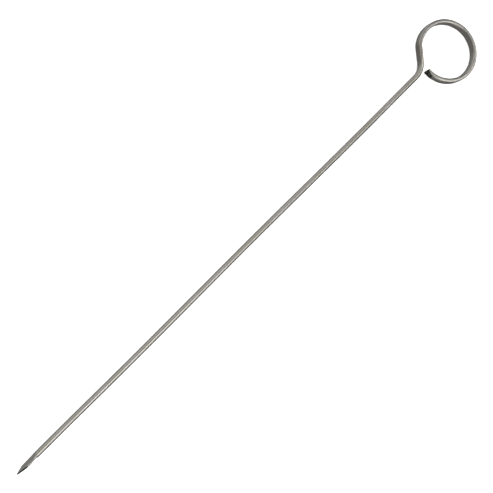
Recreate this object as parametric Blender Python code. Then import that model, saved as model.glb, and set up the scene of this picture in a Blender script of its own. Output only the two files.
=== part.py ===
"""Ring-handled wire needle: one length of stainless wire, bent and pressed.

The wire runs from a pressed spear point at -X, along a straight round shank,
through an S-shaped neck and round an open finger ring at +X. The ring lies
flat, with its axis along Z. The four objects are stretches of that one wire.
"""

import math

import bmesh
import bpy
from mathutils import Matrix, Vector

# Driving dimensions, in metres and degrees.
OVERALL_LENGTH = 0.305
WIRE_DIAMETER = 0.00275

RING_RADIUS = 0.01475  # to the middle of the wire
RING_THICKNESS = 0.0022  # across the flattened wire, towards the ring's middle
RING_HEIGHT = 0.0048  # of the flattened wire, along the ring's axis
RING_CORNER = 0.0007  # radius left on the flattened wire's edges
RING_SWEEP = 299.0

FIRST_BEND_RADIUS = 0.0098
FIRST_BEND_ANGLE = 51.0
NECK_STRAIGHT = 0.0072
SECOND_BEND_RADIUS = 0.0086
SECOND_BEND_ANGLE = 22.0
FLATTENING_LENGTH = 0.011  # from the first bend's start to the ring's full section

BLADE_WIDTH = 0.0038
BLADE_THICKNESS = 0.00095
POINT_THICKNESS = 0.0006
BLADE_CORNER = 0.0002
BLADE_CANT = 22.0  # of the blade's broad direction from the ring's axis, towards -Y
BLADE_START = 0.0125  # where the press first marks the round wire, from the point
BLADE_FULL = 0.0099  # where the blade reaches its thickness
UPPER_EDGE_FULL = 0.0068  # where the blade's upper edge reaches its width
UPPER_SHOULDER = 0.0053  # start of the sheared facet on the upper edge
LOWER_SHOULDER = 0.0044  # and on the lower edge
POINT_RISE = 0.0002  # of the point above the blade's middle line
POINT_WIDTH = 0.0003  # blunt width left at the point

# The ring's free end is cut off square, and then nipped slantwise across its outer side.
NIP_LENGTH = 0.0032  # how far back the nip starts, along the outer side's upper edge
NIP_DEPTH_TOP = 0.0011  # how much of the thickness it takes at the very end, at the top
NIP_DEPTH_BOTTOM = 0.00035  # and at the bottom
NIP_REACH = 0.007  # how near the end a face is for the nip to meet it

TIP_LENGTH = 0.0145
NECK_LEAD = 0.002  # straight wire kept on the neck before its first bend
SEAM_GAP = 0.0003

CORNER_POINTS = 5  # points on each quarter of a section
BEND_STEP = 5.0  # degrees between sections on a bend
NECK_STEP = 0.0012  # between sections on the neck's straight part
EDGE_SPANS = 2  # spans between sections: along the blade's full width,
SHOULDER_SPANS = 4  # where its upper edge narrows,
PRESS_SPANS = 5  # and where the press runs out into the round wire
SHARP_ANGLE = 40.0
CUT_TOLERANCE = 1e-8

STEEL_COLOUR = (0.47, 0.46, 0.44, 1.0)
STEEL_ROUGHNESS = 0.3


def clear_scene():
    for old in list(bpy.data.objects):
        bpy.data.objects.remove(old, do_unlink=True)


def make_steel():
    steel = bpy.data.materials.new("stainless_wire")
    steel.use_nodes = True
    shader = steel.node_tree.nodes["Principled BSDF"]
    shader.inputs["Base Color"].default_value = STEEL_COLOUR
    shader.inputs["Metallic"].default_value = 1.0
    shader.inputs["Roughness"].default_value = STEEL_ROUGHNESS
    return steel


class WirePath:
    """The wire's middle line in plan, walked from the point as straights and arcs."""

    def __init__(self, segments):
        self.segments = segments
        self.origin = Vector((0.0, 0.0))

    def length(self):
        return sum(length for length, _ in self.segments)

    def at(self, distance):
        """The position and the heading, in radians, that far from the point."""
        here = self.origin.copy()
        heading = 0.0
        for number, (length, turn) in enumerate(self.segments):
            last = number == len(self.segments) - 1
            walked = distance if last else min(distance, length)
            if turn == 0.0:
                here += walked * Vector((math.cos(heading), math.sin(heading)))
            else:
                end = heading + turn * walked
                sines = math.sin(end) - math.sin(heading)
                cosines = math.cos(heading) - math.cos(end)
                here += Vector((sines, cosines)) / turn
                heading = end
            distance -= walked
            if distance <= 0:
                break
        return here, heading

    def frame(self, distance, height):
        """A matrix with X along the wire, Y to its left and Z up, on the middle line."""
        here, heading = self.at(distance)
        place = Matrix.Translation((here.x, here.y, height))
        return place @ Matrix.Rotation(heading, 4, "Z")


def make_path():
    first = math.radians(FIRST_BEND_ANGLE)
    second = math.radians(SECOND_BEND_ANGLE)
    sweep = math.radians(RING_SWEEP)
    bends = [
        (FIRST_BEND_RADIUS * first, 1 / FIRST_BEND_RADIUS),
        (NECK_STRAIGHT, 0.0),
        (SECOND_BEND_RADIUS * second, -1 / SECOND_BEND_RADIUS),
        (RING_RADIUS * sweep, -1 / RING_RADIUS),
    ]
    trial = WirePath([(0.0, 0.0)] + bends)
    start, heading = trial.at(sum(length for length, _ in bends[:3]))
    to_centre = Vector((math.sin(heading), -math.cos(heading))) * RING_RADIUS
    ring_centre = start + to_centre
    far_edge = ring_centre.x + RING_RADIUS + RING_THICKNESS / 2
    path = WirePath([(OVERALL_LENGTH - far_edge, 0.0)] + bends)
    path.origin = Vector((-OVERALL_LENGTH / 2, -ring_centre.y))
    return path


def smooth_step(value, start, end):
    """0 up to start, 1 from end on, and a smooth rise between."""
    share = min(max((value - start) / (end - start), 0.0), 1.0)
    return share * share * (3 - 2 * share)


def mix(first, second, share):
    return first + (second - first) * share


def section(half_width, half_height, corner):
    """A rounded rectangle's points, round all the way when corner is both halves.

    The corners are drawn outside their circles, so that the flats keep their places.
    """
    points = []
    quarter_turn = math.pi / 2
    step = quarter_turn / CORNER_POINTS
    reach = corner / math.cos(step / 2)
    for quarter in range(4):
        sign_y = 1 if quarter in (0, 3) else -1
        sign_z = 1 if quarter in (0, 1) else -1
        middle_y = sign_y * (half_width - corner)
        middle_z = sign_z * (half_height - corner)
        for number in range(CORNER_POINTS):
            angle = quarter * quarter_turn + (number + 0.5) * step
            left = middle_y + reach * math.cos(angle)
            up = middle_z + reach * math.sin(angle)
            points.append((left, up))
    return points


def wire_section(flattening):
    """The wire's section between round, at 0, and the ring's flattened form, at 1."""
    round_half = WIRE_DIAMETER / 2
    return section(
        mix(round_half, RING_THICKNESS / 2, flattening),
        mix(round_half, RING_HEIGHT / 2, flattening),
        mix(round_half, RING_CORNER, flattening),
    )


def loft(sections):
    """A closed bmesh through lists of points that all have the same count."""
    shape = bmesh.new()
    loops = [[shape.verts.new(point) for point in points] for points in sections]
    for before, after in zip(loops, loops[1:]):
        for number in range(len(before)):
            following = (number + 1) % len(before)
            corners = (before[number], before[following], after[following], after[number])
            shape.faces.new(corners)
    shape.faces.new(loops[0])
    shape.faces.new(loops[-1])
    bmesh.ops.recalc_face_normals(shape, faces=shape.faces)
    return shape


def cut(shape, point, outwards, reach):
    """Removes what lies beyond a plane, near a point on it, and closes the cut flat."""
    faces = []
    for face in shape.faces:
        if (face.calc_center_median() - point).length < reach:
            faces.append(face)
    edges = {edge for face in faces for edge in face.edges}
    corners = {corner for face in faces for corner in face.verts}
    made = bmesh.ops.bisect_plane(
        shape,
        geom=list(corners) + list(edges) + faces,
        dist=CUT_TOLERANCE,
        plane_co=point,
        plane_no=outwards,
        clear_outer=True,
    )
    rim = [piece for piece in made["geom_cut"] if isinstance(piece, bmesh.types.BMEdge)]
    bmesh.ops.contextual_create(shape, geom=rim)
    bmesh.ops.recalc_face_normals(shape, faces=shape.faces)


def add_object(name, shape, material):
    mesh = bpy.data.meshes.new(name)
    shape.to_mesh(mesh)
    shape.free()
    mesh.materials.append(material)
    mesh.shade_smooth()
    mesh.set_sharp_from_angle(angle=math.radians(SHARP_ANGLE))
    made = bpy.data.objects.new(name, mesh)
    bpy.context.scene.collection.objects.link(made)
    return made


def placed(path, distance, outline):
    """An outline of (left, up) points, set square to the wire at a distance along it."""
    frame = path.frame(distance, RING_HEIGHT / 2)
    return [frame @ Vector((0.0, left, up)) for left, up in outline]


def spaced(start, end, spans):
    """The ends of that many equal spans from start to end."""
    return [mix(start, end, (number + 1) / spans) for number in range(spans)]


def stations(path, start, end):
    """Distances from the point at which the wire's section is drawn."""
    found = [start]
    begin = 0.0
    for length, turn in path.segments:
        low = max(begin, start)
        high = min(begin + length, end)
        if high > low:
            spans = 1
            if turn:
                spans = math.ceil(abs(turn) * (high - low) / math.radians(BEND_STEP))
            elif begin > 0:
                spans = math.ceil((high - low) / NECK_STEP)
            found += spaced(low, high, spans)
        begin += length
    return found


def make_stretch(path, name, start, end, steel, cuts=()):
    """A stretch of the wire between two distances from the point."""
    first_bend = path.segments[0][0]
    sections = []
    for distance in stations(path, start, end):
        flattening = smooth_step(distance, first_bend, first_bend + FLATTENING_LENGTH)
        sections.append(placed(path, distance, wire_section(flattening)))
    shape = loft(sections)
    for point, outwards in cuts:
        cut(shape, point, outwards, NIP_REACH)
    return add_object(name, shape, steel)


def nip(path):
    """The slanting cut across the ring's free end, as a point and an outward direction."""
    # The wire goes clockwise round the ring, so its left side is the ring's outer side.
    last = path.frame(path.length(), RING_HEIGHT / 2)
    earlier = path.frame(path.length() - NIP_LENGTH, RING_HEIGHT / 2)
    outer = RING_THICKNESS / 2
    top = RING_HEIGHT / 2
    end_top = last @ Vector((0.0, outer - NIP_DEPTH_TOP, top))
    end_bottom = last @ Vector((0.0, outer - NIP_DEPTH_BOTTOM, -top))
    start_top = earlier @ Vector((0.0, outer, top))
    outwards = (end_bottom - end_top).cross(start_top - end_top).normalized()
    return end_top, outwards


def blade_outline(distance):
    """The spear point's section, as (left, up) points, at a distance from its point."""
    pressed = smooth_step(-distance, -BLADE_START, -BLADE_FULL)
    upper_pressed = smooth_step(-distance, -BLADE_FULL, -UPPER_EDGE_FULL)
    round_half = WIRE_DIAMETER / 2
    blade_half = mix(POINT_THICKNESS, BLADE_THICKNESS, min(distance / BLADE_FULL, 1.0)) / 2
    upper = mix(round_half, BLADE_WIDTH / 2, upper_pressed)
    lower = mix(round_half, BLADE_WIDTH / 2, pressed)
    outline = section(
        mix(round_half, blade_half, pressed),
        (upper + lower) / 2,
        mix(round_half, BLADE_CORNER, pressed),
    )
    cant = math.radians(BLADE_CANT)
    canted = []
    for across, broad in outline:
        broad += (upper - lower) / 2
        canted.append(
            (
                across * math.cos(cant) - broad * math.sin(cant),
                across * math.sin(cant) + broad * math.cos(cant),
            )
        )
    return canted


def make_spear_tip(path, steel):
    marks = [0.0]
    marks += spaced(0.0, UPPER_EDGE_FULL, EDGE_SPANS)
    marks += spaced(UPPER_EDGE_FULL, BLADE_FULL, SHOULDER_SPANS)
    marks += spaced(BLADE_FULL, BLADE_START, PRESS_SPANS)
    marks.append(TIP_LENGTH)
    shape = loft([placed(path, mark, blade_outline(mark)) for mark in marks])
    cant = Matrix.Rotation(math.radians(BLADE_CANT), 4, "X")
    frame = path.frame(0.0, RING_HEIGHT / 2) @ cant
    for side, shoulder in ((1, UPPER_SHOULDER), (-1, LOWER_SHOULDER)):
        point = Vector((0.0, 0.0, POINT_RISE + side * POINT_WIDTH / 2))
        edge = Vector((shoulder, 0.0, side * BLADE_WIDTH / 2))
        along = edge - point
        outwards = Vector((-along.z, 0.0, along.x)) * side
        cut(shape, frame @ point, frame.to_3x3() @ outwards, BLADE_START)
    return add_object("spear_tip", shape, steel)


def main():
    clear_scene()
    steel = make_steel()
    path = make_path()
    shank_end = path.segments[0][0] - NECK_LEAD
    neck_end = path.segments[0][0] + path.segments[1][0] + NECK_STRAIGHT / 2
    half_gap = SEAM_GAP / 2
    make_spear_tip(path, steel)
    make_stretch(path, "shank", TIP_LENGTH + SEAM_GAP, shank_end - half_gap, steel)
    make_stretch(path, "neck_bend", shank_end + half_gap, neck_end - half_gap, steel)
    ring_cuts = [nip(path)]
    make_stretch(path, "finger_ring", neck_end + half_gap, path.length(), steel, ring_cuts)


main()
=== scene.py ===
"""The looks of the ring-handled wire needle: fine wire, sheared ends, drawn steel, studio."""

import math

import bmesh
import bpy
from mathutils import Matrix, Vector, noise


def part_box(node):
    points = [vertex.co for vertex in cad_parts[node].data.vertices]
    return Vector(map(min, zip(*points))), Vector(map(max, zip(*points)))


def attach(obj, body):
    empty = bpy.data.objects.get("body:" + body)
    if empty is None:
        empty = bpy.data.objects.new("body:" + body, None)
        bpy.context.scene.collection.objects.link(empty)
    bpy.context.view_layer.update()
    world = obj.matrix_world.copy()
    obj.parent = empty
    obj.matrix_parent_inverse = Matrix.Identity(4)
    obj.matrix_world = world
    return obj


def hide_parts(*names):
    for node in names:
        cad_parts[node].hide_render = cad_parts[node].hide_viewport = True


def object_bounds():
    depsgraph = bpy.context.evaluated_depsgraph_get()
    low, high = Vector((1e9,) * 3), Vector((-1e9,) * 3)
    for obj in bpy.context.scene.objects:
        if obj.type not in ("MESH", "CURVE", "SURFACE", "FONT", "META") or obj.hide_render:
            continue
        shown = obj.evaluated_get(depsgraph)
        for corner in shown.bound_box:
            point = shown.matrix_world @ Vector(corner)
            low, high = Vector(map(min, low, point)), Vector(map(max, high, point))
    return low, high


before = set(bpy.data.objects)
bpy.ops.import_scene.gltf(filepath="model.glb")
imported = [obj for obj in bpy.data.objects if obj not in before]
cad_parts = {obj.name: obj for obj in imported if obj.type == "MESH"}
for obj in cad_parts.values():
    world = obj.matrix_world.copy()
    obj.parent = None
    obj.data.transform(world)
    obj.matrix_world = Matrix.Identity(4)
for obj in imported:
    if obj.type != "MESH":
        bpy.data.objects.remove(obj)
CAD_LOW, CAD_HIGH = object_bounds()
BODY = "root"

# The wire's path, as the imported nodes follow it, in metres and degrees.
OVERALL_LENGTH = CAD_HIGH.x - CAD_LOW.x
MIDDLE_HEIGHT = (CAD_LOW.z + CAD_HIGH.z) / 2
RING_HEIGHT = CAD_HIGH.z - CAD_LOW.z
RING_THICKNESS = 0.0022
RING_RADIUS = 0.01475
RING_CORNER = 0.0007
RING_SWEEP = 299.0
WIRE_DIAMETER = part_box("shank")[1].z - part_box("shank")[0].z
FIRST_BEND_RADIUS = 0.0098
FIRST_BEND_ANGLE = 51.0
NECK_STRAIGHT = 0.0072
SECOND_BEND_RADIUS = 0.0086
SECOND_BEND_ANGLE = 22.0
FLATTENING_LENGTH = 0.011
RIM_CROWN = 0.00006  # how far the flattened wire's faces bulge

# The spear point, measured from its tip.
BLADE_WIDTH = 0.0038
BLADE_THICKNESS = 0.00095
POINT_THICKNESS = 0.0006
BLADE_CORNER = 0.0002
BLADE_CANT = 22.0
BLADE_START = 0.0125
BLADE_FULL = 0.0099
UPPER_EDGE_FULL = 0.0068
UPPER_SHOULDER = 0.0053
LOWER_SHOULDER = 0.0044
POINT_RISE = 0.0002
POINT_WIDTH = 0.0003

# The nip at the ring's free end: how far it reaches back, and how deep it is at the end.
NIP_BACK_TOP = 0.0032
NIP_BACK_BOTTOM = 0.0039
NIP_DEPTH_TOP = 0.0011
NIP_DEPTH_BOTTOM = 0.00035
NIP_ROUGHNESS = 0.00005  # of the torn face
NIP_GRAIN = 0.0006

# The finish of the wire and of its sheared faces.
STEEL_BRIGHT = (0.55, 0.53, 0.5, 1.0)
STEEL_OLIVE = (0.475, 0.46, 0.405, 1.0)
STEEL_BROWN = (0.36, 0.295, 0.255, 1.0)
SATIN_LOW = 0.19
SATIN_HIGH = 0.24
SATIN_LINES = 0.04
LINE_TINT = 0.2
DRAW_LINES = 9.0  # how fine the drawn lines are round the wire
DRAW_ALONG = 25.0  # turns of the pattern in a metre of wire
CLOUDS = 90.0
GRAIN = 4000.0
BUMP_DEPTH = 0.0000006
STAIN_PLACE = 0.2825  # along the wire, where the neck turns
STAIN_REACH = 0.009
STAIN_STRENGTH = 0.35
# The cut faces' near-black colour is painted shade: it stands for the dark that these facets
# mirror.
SHEAR_PAINTED_SHADE = (0.015, 0.015, 0.015, 1.0)
SHEAR_PALE = (0.42, 0.42, 0.4, 1.0)
FLECKS = 750.0
FLECK_LOW = -0.4
FLECK_HIGH = 1.1
BLADE_PAINTED_SHADE = -0.8  # painted shade, added to the flecks at the point, and fading to nothing at the ring
TEAR_ROUGH = 0.55
TEAR_SMOOTH = 0.35
TEAR_DEPTH = 0.00003
NOISE_LOW = 0.3  # the usual range of a noise texture
NOISE_HIGH = 0.7
SHEARED = 1  # the sheared steel's place in a piece's materials

# The Mix node has sockets for each kind of value, and these are the ones for colours.
MIX_SHARE = 0
MIX_FIRST = 6
MIX_SECOND = 7
MIX_RESULT = 2

# The shank isn't dead straight: it bows to and fro by BOW, in waves of BOW_WAVE. The bow grows
# from nothing at the point to its full size at BOW_START, and fades over the last BOW_FADE
# before the first bend.
BOW = 0.00015
BOW_START = 0.037
BOW_WAVE = 0.15
BOW_FADE = 0.03

AROUND = 96  # points round each section, a multiple of 4
BEND_STEP = 1.5  # degrees between sections on a bend
STRAIGHT_STEP = 0.004
NECK_STEP = 0.0004
NIP_ZONE = 0.0045  # the length of finer sections at the free end
NIP_STEP = 0.0001
BLADE_STEP = 0.00025
SHARP_ANGLE = 35.0
CUT_TOLERANCE = 1e-8

# The camera, from the place on the wire that it looks at.
AIM_BACK = 0.0066  # from the middle of the length, towards the point
AIM_LEFT = 0.00132
CAMERA_DISTANCE = 0.70
CAMERA_ELEVATION = 70.09
CAMERA_AZIMUTH = 23.53
CAMERA_ROLL = 69.97
CAMERA_LENS = 111.55
SENSOR = 36.0

# The world's light comes from all round, and the table light keeps the floor white.
WORLD_COLOUR = (1.0, 1.0, 1.0, 1.0)
WORLD_LIGHT = 0.2
TABLE_LIGHT = 6.0
TABLE_LIGHT_SPREAD = 120.0
FLOOR_HALF = 15.0
FLOOR_COLOUR = (0.97, 0.97, 0.97, 1.0)
FLOOR_ROUGHNESS = 0.9

# The studio's soft boxes, all facing the wire: place, width and height in metres, brightness.
# A long strip overhead draws the bright line along the shank, on its -Y side, and the tip box
# widens it towards the point. The ceiling and north boxes fill the other flank, the low ones
# light the rounded edges of the ring, and the bounce stands for the pale table, which upright
# faces mirror.
SOFT_BOXES = (
    ("overhead_strip", (0.4, -0.78, 1.4), (1.8, 0.4), 1.9),
    ("tip_box", (0.0, -0.6, 1.4), (0.9, 0.8), 1.1),
    ("ceiling_box", (0.0, 0.4, 1.6), (1.8, 0.9), 0.36),
    ("north_box", (0.2, 1.3, 0.8), (2.0, 1.6), 0.48),
    ("north_bounce", (0.2, 1.2, -0.8), (2.0, 1.4), 0.15),
    ("south_box", (0.2, -1.4, 0.7), (2.0, 0.6), 0.36),
    ("east_box", (1.5, -0.3, 0.3), (1.2, 0.8), 1.0),
    ("west_box", (-1.1, -1.1, 0.2), (0.8, 0.8), 1.5),
)


class WirePath:
    """The wire's middle line in plan, walked from the point as straights and arcs.

    Each segment is its length and how much it turns, in radians for each metre.
    """

    def __init__(self, segments):
        self.segments = segments
        self.origin = Vector((0.0, 0.0))

    def length(self):
        return sum(length for length, _ in self.segments)

    def at(self, distance):
        """The position and the heading, in radians, that far from the point."""
        here = self.origin.copy()
        heading = 0.0
        for number, (length, turn) in enumerate(self.segments):
            last = number == len(self.segments) - 1
            walked = distance if last else min(distance, length)
            if turn == 0.0:
                here += walked * Vector((math.cos(heading), math.sin(heading)))
            else:
                end = heading + turn * walked
                sines = math.sin(end) - math.sin(heading)
                cosines = math.cos(heading) - math.cos(end)
                here += Vector((sines, cosines)) / turn
                heading = end
            distance -= walked
            if distance <= 0:
                break
        return here, heading

    def frame(self, distance):
        """A matrix with X along the wire, Y to its left and Z up, on the middle line."""
        here, heading = self.at(distance)
        rise = smooth_step(distance, 0.0, BOW_START)
        fall = smooth_step(-distance, -self.segments[0][0], BOW_FADE - self.segments[0][0])
        bow = BOW * rise * fall * math.sin(math.tau * (distance - BOW_START) / BOW_WAVE)
        place = Matrix.Translation((here.x, here.y - bow, MIDDLE_HEIGHT))
        return place @ Matrix.Rotation(heading, 4, "Z")


def make_path():
    first = math.radians(FIRST_BEND_ANGLE)
    second = math.radians(SECOND_BEND_ANGLE)
    sweep = math.radians(RING_SWEEP)
    bends = [
        (FIRST_BEND_RADIUS * first, 1 / FIRST_BEND_RADIUS),
        (NECK_STRAIGHT, 0.0),
        (SECOND_BEND_RADIUS * second, -1 / SECOND_BEND_RADIUS),
        (RING_RADIUS * sweep, -1 / RING_RADIUS),
    ]
    trial = WirePath([(0.0, 0.0)] + bends)
    start, heading = trial.at(sum(length for length, _ in bends[:3]))
    to_centre = Vector((math.sin(heading), -math.cos(heading))) * RING_RADIUS
    ring_centre = start + to_centre
    far_edge = ring_centre.x + RING_RADIUS + RING_THICKNESS / 2
    path = WirePath([(OVERALL_LENGTH - far_edge, 0.0)] + bends)
    path.origin = Vector((CAD_LOW.x, -ring_centre.y))
    return path


def smooth_step(value, start, end):
    share = min(max((value - start) / (end - start), 0.0), 1.0)
    return share * share * (3 - 2 * share)


def mix(first, second, share):
    return first + (second - first) * share


def spaced(start, end, step):
    count = math.ceil((end - start) / step)
    return [mix(start, end, number / count) for number in range(count + 1)]


def section(half_width, half_height, corner, crown=0.0):
    """A rounded rectangle's (left, up) points, evenly walked, with faces that bulge by crown."""
    flat_width = half_width - corner
    flat_height = half_height - corner
    arc = corner * math.pi / 2
    points = []
    for number in range(AROUND):
        quarter, share = divmod(number * 4 / AROUND, 1)
        walked = (flat_height + arc + flat_width) * (1 - share if quarter % 2 else share)
        if walked < flat_height:
            left, up = half_width, walked
        elif walked < flat_height + arc:
            angle = (walked - flat_height) / corner
            left = flat_width + corner * math.cos(angle)
            up = flat_height + corner * math.sin(angle)
        else:
            left, up = flat_width - (walked - flat_height - arc), half_height
        left *= 1 - crown / half_width * (up / half_height) ** 2
        up *= 1 - crown / half_height * (left / half_width) ** 2
        sign_left = -1 if quarter in (1, 2) else 1
        sign_up = -1 if quarter in (2, 3) else 1
        points.append((sign_left * left, sign_up * up))
    return points


def wire_section(flattening):
    round_half = WIRE_DIAMETER / 2
    return section(
        mix(round_half, RING_THICKNESS / 2, flattening),
        mix(round_half, RING_HEIGHT / 2, flattening),
        mix(round_half, RING_CORNER, flattening),
        RIM_CROWN * flattening,
    )


def nipped(outline, back):
    """The section with its outer side torn down by the nip, and which points that moved."""
    points = []
    moved = []
    for left, up in outline:
        rise = 0.5 + up / RING_HEIGHT
        reach = mix(NIP_BACK_BOTTOM, NIP_BACK_TOP, rise)
        depth = mix(NIP_DEPTH_BOTTOM, NIP_DEPTH_TOP, rise) * (1 - back / reach)
        grain = Vector((left, up, back)) / NIP_GRAIN
        limit = RING_THICKNESS / 2 - depth - NIP_ROUGHNESS * abs(noise.noise(grain))
        torn = back < reach and left > limit
        points.append((limit if torn else left, up))
        moved.append(torn)
    return points, moved


def loft(sections, distances, marks=None):
    """A closed mesh through the sections, with a UV map of (round the wire, along it)."""
    shape = bmesh.new()
    layer = shape.loops.layers.uv.new("wire")
    loops = [[shape.verts.new(point) for point in points] for points in sections]
    for number in range(len(loops) - 1):
        near, far = distances[number], distances[number + 1]
        for place in range(AROUND):
            following = (place + 1) % AROUND
            ends = (
                (number, following, (place + 1) / AROUND, near),
                (number, place, place / AROUND, near),
                (number + 1, place, place / AROUND, far),
                (number + 1, following, (place + 1) / AROUND, far),
            )
            face = shape.faces.new([loops[row][column] for row, column, _, _ in ends])
            for corner, (_, _, u, v) in zip(face.loops, ends):
                corner[layer].uv = (u, v)
            if marks and all(marks[row][column] for row, column, _, _ in ends):
                face.material_index = SHEARED
    shape.faces.new(list(reversed(loops[0])))
    last = shape.faces.new(loops[-1])
    if marks:
        last.material_index = SHEARED
    bmesh.ops.recalc_face_normals(shape, faces=shape.faces)
    return shape


def placed(path, distance, outline):
    matrix = path.frame(distance)
    return [matrix @ Vector((0.0, left, up)) for left, up in outline]


def stations(path, start, end, step):
    """Distances from the point at which the wire's section is drawn."""
    found = [start]
    begin = 0.0
    for length, turn in path.segments:
        low = max(begin, start)
        high = min(begin + length, end)
        if high > low:
            reach = math.radians(BEND_STEP) / abs(turn) if turn else step
            found += spaced(low, high, reach)[1:]
        begin += length
    return found


def add_piece(name, shape, materials, nodes):
    mesh = bpy.data.meshes.new(name)
    shape.to_mesh(mesh)
    shape.free()
    for material in materials:
        mesh.materials.append(material)
    mesh.shade_smooth()
    mesh.set_sharp_from_angle(angle=math.radians(SHARP_ANGLE))
    piece = bpy.data.objects.new(name, mesh)
    bpy.context.scene.collection.objects.link(piece)
    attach(piece, BODY)
    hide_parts(*nodes)


def make_wire(path, name, node, start, end, materials, step):
    """A stretch of the wire between two distances from the point, nipped if it is the last."""
    first_bend = path.segments[0][0]
    total = path.length()
    distances = stations(path, start, end, step)
    marks = None
    if end >= total:
        kept = [distance for distance in distances if distance < total - NIP_ZONE]
        distances = kept + spaced(total - NIP_ZONE, total, NIP_STEP)
        marks = []
    sections = []
    for distance in distances:
        flattening = smooth_step(distance, first_bend, first_bend + FLATTENING_LENGTH)
        outline = wire_section(flattening)
        if marks is not None:
            outline, moved = nipped(outline, total - distance)
            marks.append(moved)
        sections.append(placed(path, distance, outline))
    add_piece(name, loft(sections, distances, marks), materials, [node])


def blade_outline(distance):
    """The section that far from the point, pressed flat and canted about the wire."""
    pressed = smooth_step(-distance, -BLADE_START, -BLADE_FULL)
    upper_pressed = smooth_step(-distance, -BLADE_FULL, -UPPER_EDGE_FULL)
    round_half = WIRE_DIAMETER / 2
    blade_half = mix(POINT_THICKNESS, BLADE_THICKNESS, min(distance / BLADE_FULL, 1.0)) / 2
    upper = mix(round_half, BLADE_WIDTH / 2, upper_pressed)
    lower = mix(round_half, BLADE_WIDTH / 2, pressed)
    outline = section(
        mix(round_half, blade_half, pressed),
        (upper + lower) / 2,
        mix(round_half, BLADE_CORNER, pressed),
    )
    cant = math.radians(BLADE_CANT)
    canted = []
    for across, broad in outline:
        broad += (upper - lower) / 2
        canted.append(
            (
                across * math.cos(cant) - broad * math.sin(cant),
                across * math.sin(cant) + broad * math.cos(cant),
            )
        )
    return canted


def shear(shape, point, outwards):
    """Cut away what lies outwards of the point, and close the cut with sheared steel."""
    made = bmesh.ops.bisect_plane(
        shape,
        geom=list(shape.verts) + list(shape.edges) + list(shape.faces),
        dist=CUT_TOLERANCE,
        plane_co=point,
        plane_no=outwards,
        clear_outer=True,
    )
    rim = [piece for piece in made["geom_cut"] if isinstance(piece, bmesh.types.BMEdge)]
    before = set(shape.faces)
    bmesh.ops.contextual_create(shape, geom=rim)
    for face in set(shape.faces) - before:
        face.material_index = SHEARED
    bmesh.ops.recalc_face_normals(shape, faces=shape.faces)


def make_spear(path, seam, materials):
    distances = spaced(0.0, BLADE_START, BLADE_STEP) + [seam]
    shape = loft([placed(path, mark, blade_outline(mark)) for mark in distances], distances)
    local = path.frame(0.0) @ Matrix.Rotation(math.radians(BLADE_CANT), 4, "X")
    for side, shoulder in ((1, UPPER_SHOULDER), (-1, LOWER_SHOULDER)):
        point = Vector((0.0, 0.0, POINT_RISE + side * POINT_WIDTH / 2))
        edge = Vector((shoulder, 0.0, side * BLADE_WIDTH / 2))
        along = edge - point
        outwards = Vector((-along.z, 0.0, along.x)) * side
        shear(shape, local @ point, local.to_3x3() @ outwards)
    add_piece("spear_blade", shape, materials, ["spear_tip"])


def add_node(tree, kind, inputs=(), **settings):
    """A shader node, with settings on it and values or links on its inputs."""
    node = tree.nodes.new(kind)
    for name, value in settings.items():
        setattr(node, name, value)
    for name, value in dict(inputs).items():
        if isinstance(value, bpy.types.NodeSocket):
            tree.links.new(value, node.inputs[name])
        else:
            node.inputs[name].default_value = value
    return node


def add_noise(tree, place, scale, detail, roughness):
    inputs = {"Vector": place, "Scale": scale, "Detail": detail, "Roughness": roughness}
    return add_node(tree, "ShaderNodeTexNoise", inputs).outputs["Fac"]


def compute(tree, operation, *values, **settings):
    """The result of a Math node."""
    inputs = dict(enumerate(values))
    return add_node(tree, "ShaderNodeMath", inputs, operation=operation, **settings).outputs[0]


def spread(tree, value, low, high):
    """A noise value, from its usual range, spread between two numbers."""
    inputs = {
        "Value": value,
        "From Min": NOISE_LOW,
        "From Max": NOISE_HIGH,
        "To Min": low,
        "To Max": high,
    }
    return add_node(tree, "ShaderNodeMapRange", inputs).outputs["Result"]


def blend(tree, share, first, second):
    """A colour between two others."""
    inputs = {MIX_SHARE: share, MIX_FIRST: first, MIX_SECOND: second}
    return add_node(tree, "ShaderNodeMix", inputs, data_type="RGBA").outputs[MIX_RESULT]


def add_bump(tree, shader, height, depth):
    inputs = {"Height": height, "Strength": 1.0, "Distance": depth}
    bump = add_node(tree, "ShaderNodeBump", inputs)
    tree.links.new(bump.outputs["Normal"], shader.inputs["Normal"])


def start_metal(name):
    """A new bare metal material, its node tree and its shader."""
    material = bpy.data.materials.new(name)
    material.use_nodes = True
    tree = material.node_tree
    shader = tree.nodes["Principled BSDF"]
    shader.inputs["Metallic"].default_value = 1.0
    return material, tree, shader


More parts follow.
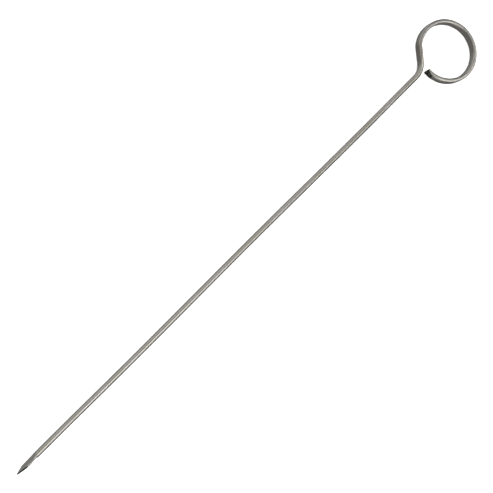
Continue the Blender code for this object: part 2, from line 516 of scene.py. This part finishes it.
def make_drawn_stainless():
    """Satin wire: fine lines drawn along it, cloudy patches and a brown stain on the neck."""
    material, tree, shader = start_metal("drawn_stainless")
    uv = add_node(tree, "ShaderNodeUVMap", uv_map="wire").outputs["UV"]
    apart = add_node(tree, "ShaderNodeSeparateXYZ", {"Vector": uv}).outputs
    # Round the wire as a circle, so that the lines meet where the map's two sides do.
    turn = compute(tree, "MULTIPLY", apart["X"], math.tau)
    circle = {
        "X": compute(tree, "COSINE", turn),
        "Y": compute(tree, "SINE", turn),
        "Z": compute(tree, "MULTIPLY", apart["Y"], DRAW_ALONG),
    }
    drawn = add_node(tree, "ShaderNodeCombineXYZ", circle).outputs[0]
    lines = add_noise(tree, drawn, DRAW_LINES, detail=3.0, roughness=0.6)
    place = add_node(tree, "ShaderNodeTexCoord").outputs["Object"]
    clouds = add_noise(tree, place, CLOUDS, detail=3.0, roughness=0.55)
    grain = add_noise(tree, place, GRAIN, detail=2.0, roughness=0.5)
    away = compute(tree, "ABSOLUTE", compute(tree, "SUBTRACT", apart["Y"], STAIN_PLACE))
    fading = {
        "Value": away,
        "From Min": 0.0,
        "From Max": STAIN_REACH,
        "To Min": STAIN_STRENGTH,
        "To Max": 0.0,
    }
    fade = add_node(tree, "ShaderNodeMapRange", fading, interpolation_type="SMOOTHSTEP")
    steel = blend(tree, spread(tree, clouds, 0.0, 1.0), STEEL_OLIVE, STEEL_BRIGHT)
    streaked = blend(tree, spread(tree, lines, 0.0, LINE_TINT), steel, STEEL_OLIVE)
    tinted = blend(tree, fade.outputs["Result"], streaked, STEEL_BROWN)
    tree.links.new(tinted, shader.inputs["Base Color"])
    satin = spread(tree, clouds, SATIN_LOW, SATIN_HIGH)
    streaks = spread(tree, lines, 0.0, SATIN_LINES)
    tree.links.new(compute(tree, "ADD", satin, streaks), shader.inputs["Roughness"])
    add_bump(tree, shader, compute(tree, "ADD", lines, grain), BUMP_DEPTH)
    return material


def make_sheared_steel_with_painted_shade():
    """Torn metal with paler flecks, where the wire was sheared or nipped, in a near-black colour
    that is painted shade for the dark these cut faces mirror.
    """
    material, tree, shader = start_metal("sheared_steel_with_painted_shade")
    place = add_node(tree, "ShaderNodeTexCoord").outputs["Object"]
    flecks = add_noise(tree, place, FLECKS, detail=4.0, roughness=0.6)
    # Painted shade: the blade's sheared faces, at -X, are painted blacker than the nip at the
    # other end.
    along = add_node(tree, "ShaderNodeSeparateXYZ", {"Vector": place}).outputs["X"]
    fading = {
        "Value": along,
        "From Min": CAD_LOW.x,
        "From Max": CAD_HIGH.x,
        "To Min": BLADE_PAINTED_SHADE,
        "To Max": 0.0,
    }
    painted_blade_shade = add_node(tree, "ShaderNodeMapRange", fading).outputs["Result"]
    fleck = spread(tree, flecks, FLECK_LOW, FLECK_HIGH)
    share = compute(tree, "ADD", fleck, painted_blade_shade, use_clamp=True)
    # The cut faces run from painted shade, near black, to paler flecks.
    tree.links.new(blend(tree, share, SHEAR_PAINTED_SHADE, SHEAR_PALE), shader.inputs["Base Color"])
    tree.links.new(spread(tree, flecks, TEAR_ROUGH, TEAR_SMOOTH), shader.inputs["Roughness"])
    add_bump(tree, shader, flecks, TEAR_DEPTH)
    return material


def make_camera():
    target = Vector((CAD_LOW.x + OVERALL_LENGTH / 2 - AIM_BACK, AIM_LEFT, MIDDLE_HEIGHT))
    elevation = math.radians(CAMERA_ELEVATION)
    azimuth = math.radians(CAMERA_AZIMUTH)
    back = Vector(
        (
            -math.cos(elevation) * math.cos(azimuth),
            math.cos(elevation) * math.sin(azimuth),
            math.sin(elevation),
        )
    )
    sideways = Vector((0, 0, 1)).cross(back).normalized()
    upright = back.cross(sideways)
    axes = Matrix((sideways, upright, back)).transposed()
    turned = axes @ Matrix.Rotation(math.radians(CAMERA_ROLL), 3, "Z")
    data = bpy.data.cameras.new("camera")
    data.sensor_width = SENSOR
    data.lens = CAMERA_LENS
    data.clip_end = 2 * FLOOR_HALF
    camera = bpy.data.objects.new("camera", data)
    camera.matrix_world = Matrix.Translation(target + back * CAMERA_DISTANCE) @ turned.to_4x4()
    bpy.context.scene.collection.objects.link(camera)
    bpy.context.scene.camera = camera


def make_stage():
    """The pale floor, which the metal doesn't mirror and which casts no shadow of its own."""
    shape = bmesh.new()
    corners = [(-1, -1), (1, -1), (1, 1), (-1, 1)]
    places = [(x * FLOOR_HALF, y * FLOOR_HALF, CAD_LOW.z) for x, y in corners]
    shape.faces.new([shape.verts.new(place) for place in places])
    mesh = bpy.data.meshes.new("floor")
    shape.to_mesh(mesh)
    shape.free()
    material = bpy.data.materials.new("pale_floor")
    material.use_nodes = True
    shader = material.node_tree.nodes["Principled BSDF"]
    shader.inputs["Base Color"].default_value = FLOOR_COLOUR
    shader.inputs["Roughness"].default_value = FLOOR_ROUGHNESS
    mesh.materials.append(material)
    floor = bpy.data.objects.new("floor", mesh)
    bpy.context.scene.collection.objects.link(floor)
    floor.visible_glossy = False
    floor.visible_shadow = False


def add_soft_box(name, place, size, radiance):
    """A rectangular soft light that faces the wire and that the camera doesn't see."""
    data = bpy.data.lights.new(name, "AREA")
    data.shape = "RECTANGLE"
    data.size, data.size_y = size
    data.energy = radiance * math.pi * data.size * data.size_y
    light = bpy.data.objects.new(name, data)
    light.location = place
    light.rotation_euler = Vector(place).to_track_quat("Z", "Y").to_euler()
    light.visible_camera = False
    bpy.context.scene.collection.objects.link(light)


def make_lights():
    world = bpy.data.worlds.new("studio")
    world.use_nodes = True
    background = world.node_tree.nodes["Background"]
    background.inputs["Color"].default_value = WORLD_COLOUR
    background.inputs["Strength"].default_value = WORLD_LIGHT
    bpy.context.scene.world = world
    bpy.context.scene.view_settings.view_transform = "Standard"
    for name, place, size, radiance in SOFT_BOXES:
        add_soft_box(name, place, size, radiance)
    # The metal doesn't mirror this one.
    data = bpy.data.lights.new("table_light", "SUN")
    data.energy = TABLE_LIGHT
    data.angle = math.radians(TABLE_LIGHT_SPREAD)
    table_light = bpy.data.objects.new("table_light", data)
    table_light.visible_glossy = False
    bpy.context.scene.collection.objects.link(table_light)


def main():
    materials = [make_drawn_stainless(), make_sheared_steel_with_painted_shade()]
    path = make_path()
    spear_seam = (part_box("spear_tip")[1].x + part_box("shank")[0].x) / 2 - CAD_LOW.x
    neck_seam = (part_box("shank")[1].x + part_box("neck_bend")[0].x) / 2 - CAD_LOW.x
    ring_seam = path.segments[0][0] + path.segments[1][0] + NECK_STRAIGHT / 2
    make_spear(path, spear_seam, materials)
    make_wire(path, "shank_wire", "shank", spear_seam, neck_seam, materials, STRAIGHT_STEP)
    make_wire(path, "neck_wire", "neck_bend", neck_seam, ring_seam, materials, NECK_STEP)
    make_wire(path, "ring_wire", "finger_ring", ring_seam, path.length(), materials, NECK_STEP)
    make_camera()
    make_stage()
    make_lights()


main()
